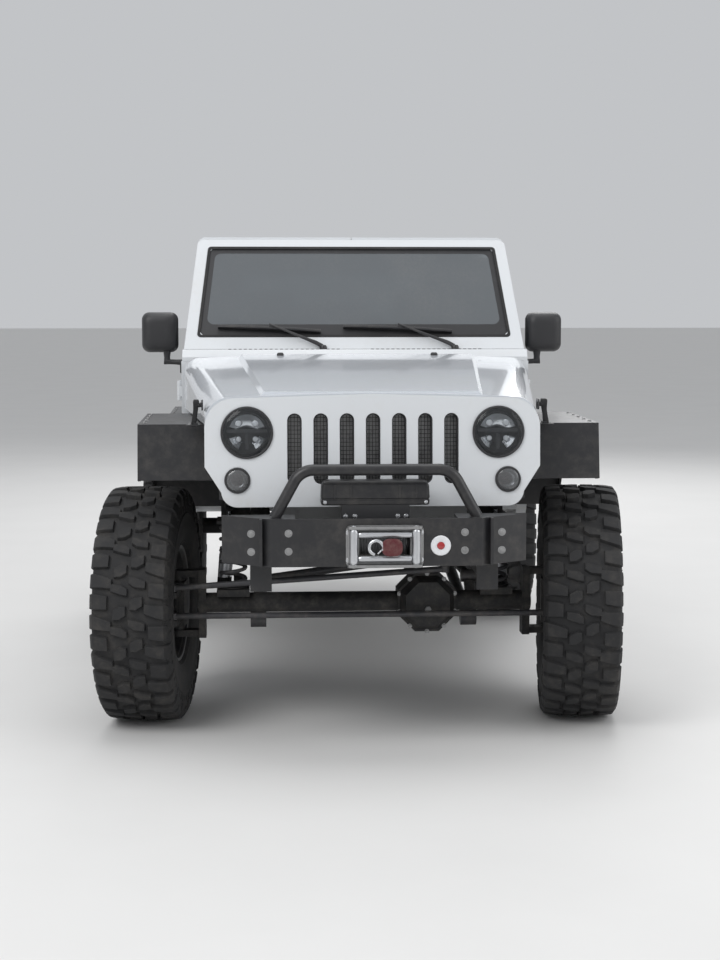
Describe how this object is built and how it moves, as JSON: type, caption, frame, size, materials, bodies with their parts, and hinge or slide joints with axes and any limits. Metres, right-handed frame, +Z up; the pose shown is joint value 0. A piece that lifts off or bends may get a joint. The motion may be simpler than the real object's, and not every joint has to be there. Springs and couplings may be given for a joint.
{
  "type": "lifted off-road four-wheel-drive car",
  "caption": "Lifted off-road four-wheel-drive car with hard top, steering, opening doors, hood and tailgate, winch bumper, flat fenders and mud tyres.",
  "frame": {"origin": "on the ground under the middle of the car's overall box", "axes": "+Z up, the front faces -Y, +X is the car's left side"},
  "size_m": [2.1434, 4.3187, 1.9659],
  "materials": {
    "body_paint": "white paint, dusty, with a clear coat",
    "satin_black": "satin black powder coat and moulded plastic",
    "frame_black": "dusty black chassis paint",
    "engine_metal": "cast and sheet metal, dusty",
    "steering_steel": "black coated steel rod",
    "spring_steel": "coated spring steel",
    "shock_silver": "bright damper body and plated rod",
    "winch_black": "textured black with bright cable",
    "clear_glass": "clear automotive glass",
    "lamp_lens": "clear lens over a black and bright lamp",
    "tail_lens": "red moulded lens",
    "tyre_rubber": "dusty black rubber with open lugs",
    "wheel_black": "satin black alloy",
    "seat_cloth": "black woven seat cloth",
    "cabin_plastic": "grained dark plastic",
    "floor_paint": "dark floor with carpet and sealer"
  },
  "bodies": {
    "chassis": {"frame_rails": "frame_black", "crossmembers": "frame_black", "powertrain": "engine_metal", "radiator": "engine_metal", "floor_pan": "floor_paint", "body_sides": "body_paint", "cowl": "body_paint", "grille": "body_paint", "front_lamps": "lamp_lens", "fenders": "satin_black", "windshield_frame": "body_paint", "roof_panels": "body_paint", "hardtop": "body_paint", "fixed_glass": "clear_glass", "roll_cage": "frame_black", "seats": "seat_cloth", "dashboard": "cabin_plastic", "front_bumper": "satin_black", "winch": "winch_black", "rear_bumper": "satin_black", "front_axle": "frame_black", "rear_axle": "frame_black", "coil_springs": "spring_steel", "shock_absorbers": "shock_silver", "suspension_links": "steering_steel", "driveshafts": "steering_steel", "exhaust": "engine_metal", "fuel_tank": "frame_black", "tail_lamps": "tail_lens"},
    "hood": {"hood": "body_paint"},
    "door_left": {"door_left": "body_paint", "door_glass_left": "clear_glass", "mirror_left": "satin_black"},
    "door_right": {"door_right": "body_paint", "door_glass_right": "clear_glass", "mirror_right": "satin_black"},
    "tailgate": {"tailgate": "body_paint", "spare_rim": "wheel_black", "spare_tyre": "tyre_rubber"},
    "knuckle_left": {"knuckle_left": "frame_black"},
    "knuckle_right": {"knuckle_right": "frame_black"},
    "tie_rod": {"tie_rod": "steering_steel"},
    "drag_link": {"drag_link": "steering_steel"},
    "pitman_arm": {"pitman_arm": "steering_steel"},
    "steering_wheel": {"steering_wheel": "cabin_plastic"},
    "wheel_front_left": {"tyre_front_left": "tyre_rubber", "rim_front_left": "wheel_black"},
    "wheel_front_right": {"tyre_front_right": "tyre_rubber", "rim_front_right": "wheel_black"},
    "wheel_rear_left": {"tyre_rear_left": "tyre_rubber", "rim_rear_left": "wheel_black"},
    "wheel_rear_right": {"tyre_rear_right": "tyre_rubber", "rim_rear_right": "wheel_black"}
  },
  "joints": [
    {"name": "steer_left", "type": "hinge", "parent": "chassis", "child": "knuckle_left", "pos_m": [0.75, -1.362, 0.47], "axis": [0, 0, 1], "range_deg": [-24, 38]},
    {"name": "steer_right", "type": "hinge", "parent": "chassis", "child": "knuckle_right", "pos_m": [-0.75, -1.362, 0.47], "axis": [0, 0, 1], "range_deg": [-24, 38]},
    {"name": "tie_rod_swing", "type": "hinge", "parent": "knuckle_left", "child": "tie_rod", "pos_m": [0.73172, -1.51088, 0.44], "axis": [0, 0, 1], "range_deg": [-38, 24]},
    {"name": "drag_link_swing", "type": "hinge", "parent": "knuckle_right", "child": "drag_link", "pos_m": [-0.76828, -1.51088, 0.55], "axis": [0, 0, 1], "range_deg": [-38, 24]},
    {"name": "pitman_turn", "type": "hinge", "parent": "chassis", "child": "pitman_arm", "pos_m": [0.33, -1.362, 0.65], "axis": [0, 0, 1], "range_deg": [-24, 38]},
    {"name": "steering_wheel_turn", "type": "hinge", "parent": "chassis", "child": "steering_wheel", "pos_m": [0.37, -0.2582, 1.34891], "axis": [0, 0.9445, 0.3285], "range_deg": [-336, 532]},
    {"name": "front_left_spin", "type": "hinge", "parent": "knuckle_left", "child": "wheel_front_left", "pos_m": [0.86911, -1.37662, 0.47], "axis": [0.9925, -0.1219, 0], "continuous": true},
    {"name": "front_right_spin", "type": "hinge", "parent": "knuckle_right", "child": "wheel_front_right", "pos_m": [-0.86911, -1.34738, 0.47], "axis": [0.9925, -0.1219, 0], "continuous": true},
    {"name": "rear_left_spin", "type": "hinge", "parent": "chassis", "child": "wheel_rear_left", "pos_m": [0.87, 1.062, 0.47], "axis": [1, 0, 0], "continuous": true},
    {"name": "rear_right_spin", "type": "hinge", "parent": "chassis", "child": "wheel_rear_right", "pos_m": [-0.87, 1.062, 0.47], "axis": [1, 0, 0], "continuous": true},
    {"name": "door_left_swing", "type": "hinge", "parent": "chassis", "child": "door_left", "pos_m": [0.77, -0.651, 1.1], "axis": [0, 0, -1], "range_deg": [0, 65]},
    {"name": "door_right_swing", "type": "hinge", "parent": "chassis", "child": "door_right", "pos_m": [-0.77, -0.651, 1.1], "axis": [0, 0, 1], "range_deg": [0, 65]},
    {"name": "hood_lift", "type": "hinge", "parent": "chassis", "child": "hood", "pos_m": [0, -0.767, 1.445], "axis": [-1, 0, 0], "range_deg": [0, 55]},
    {"name": "tailgate_swing", "type": "hinge", "parent": "chassis", "child": "tailgate", "pos_m": [-0.636, 1.766, 1.1], "axis": [0, 0, 1], "range_deg": [0, 90]}
  ],
  "couplings": [
    {"joint": "steer_right", "follows": "steer_left", "ratio": 1},
    {"joint": "tie_rod_swing", "follows": "steer_left", "ratio": -1},
    {"joint": "drag_link_swing", "follows": "steer_left", "ratio": -1},
    {"joint": "pitman_turn", "follows": "steer_left", "ratio": 1},
    {"joint": "steering_wheel_turn", "follows": "steer_left", "ratio": 14}
  ]
}
